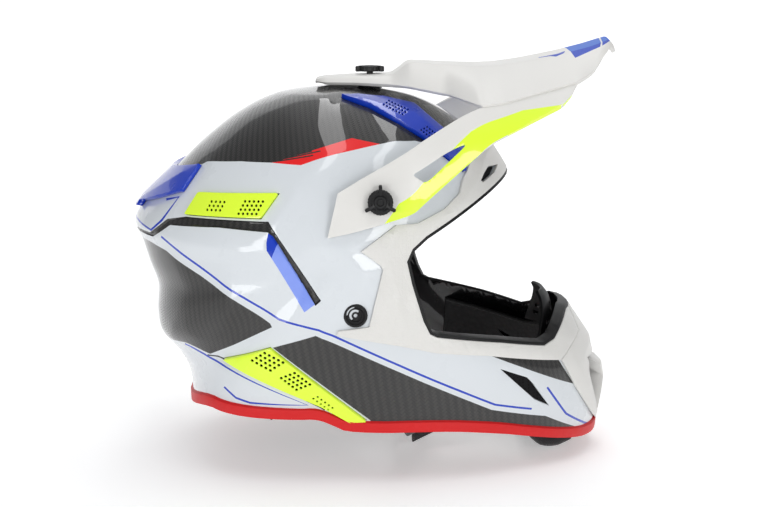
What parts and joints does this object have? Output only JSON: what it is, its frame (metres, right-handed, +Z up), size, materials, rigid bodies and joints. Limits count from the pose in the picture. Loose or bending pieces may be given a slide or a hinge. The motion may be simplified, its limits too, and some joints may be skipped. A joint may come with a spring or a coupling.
{
  "type": "motocross helmet",
  "caption": "Full-face off-road helmet with a tilting peak on thumb screws, an open eyeport, vented chin bar, foam and fabric inside, and a ring-buckled chin strap.",
  "frame": {"origin": "middle of the helmet's box, on the plane its chin rests on", "axes": "+X the way the rider looks, +Y the rider's left, +Z up"},
  "size_m": [0.356, 0.2678, 0.3098],
  "materials": {
    "painted_composite": "clear-coated paint and bare carbon twill",
    "satin_white": "satin, fine hexagon grain on the eyeport surround",
    "blue_gloss": "gloss",
    "yellow_gloss": "gloss, fluorescent",
    "red_rubber": "satin",
    "black_rubber": "satin",
    "black_plastic": "fine grain",
    "eps_foam": "black bead foam",
    "liner_fabric": "brushed knit",
    "black_webbing": "woven",
    "red_webbing": "woven",
    "steel": "plated",
    "brass": "turned"
  },
  "bodies": {
    "helmet": {"base_trim": "red_rubber", "brow_vent_mesh_left": "black_plastic", "brow_vent_mesh_right": "black_plastic", "cheek_pad_left": "liner_fabric", "cheek_pad_right": "liner_fabric", "chin_curtain": "liner_fabric", "chin_foam": "eps_foam", "chin_vent_mesh_left": "black_plastic", "chin_vent_mesh_right": "black_plastic", "comfort_liner": "liner_fabric", "crown_foam": "eps_foam", "crown_vent_left": "blue_gloss", "crown_vent_mesh_left": "black_plastic", "crown_vent_mesh_right": "black_plastic", "crown_vent_right": "blue_gloss", "eyeport_gasket": "black_rubber", "eyeport_surround": "satin_white", "lower_exhaust_left": "yellow_gloss", "lower_exhaust_mesh_left": "black_plastic", "lower_exhaust_mesh_right": "black_plastic", "lower_exhaust_right": "yellow_gloss", "mouth_vent_bar": "satin_white", "mouth_vent_mesh": "black_plastic", "neck_roll": "liner_fabric", "nose_cover": "satin_white", "nose_guard": "black_rubber", "peak_inserts": "brass", "peak_spacers": "black_rubber", "rear_spoiler": "blue_gloss", "shell": "painted_composite", "side_exhaust_left": "yellow_gloss", "side_exhaust_mesh_left": "black_plastic", "side_exhaust_mesh_right": "black_plastic", "side_exhaust_right": "yellow_gloss", "strap_anchor_left": "black_plastic", "strap_anchor_right": "black_plastic"},
    "peak": {"peak": "satin_white"},
    "screw_top": {"peak_screw_top": "black_plastic"},
    "screw_right": {"peak_screw_right": "black_plastic"},
    "screw_left": {"peak_screw_left": "black_plastic"},
    "chin_strap": {"chin_strap_right": "black_webbing", "chin_strap_left": "black_webbing", "buckle_rings": "steel", "release_tab": "red_webbing", "strap_snap": "black_plastic", "strap_plate_right": "steel", "strap_plate_left": "steel"}
  },
  "joints": [
    {"name": "peak_tilt", "type": "hinge", "parent": "helmet", "child": "peak", "pos_m": [0.00597, 0, 0.201], "axis": [0, -1, 0], "range_deg": [-5, 2.5]},
    {"name": "top_screw_turn", "type": "hinge", "parent": "helmet", "child": "screw_top", "pos_m": [-0.00193, 0, 0.2825], "axis": [0, 0, 1], "continuous": true},
    {"name": "right_screw_turn", "type": "hinge", "parent": "helmet", "child": "screw_right", "pos_m": [0.00597, -0.129, 0.201], "axis": [0, -1, 0], "continuous": true},
    {"name": "left_screw_turn", "type": "hinge", "parent": "helmet", "child": "screw_left", "pos_m": [0.00597, 0.129, 0.201], "axis": [0, 1, 0], "continuous": true},
    {"name": "strap_swing", "type": "hinge", "parent": "helmet", "child": "chin_strap", "pos_m": [-0.01123, 0, 0.1215], "axis": [0, -1, 0], "range_deg": [-14, 12]}
  ]
}
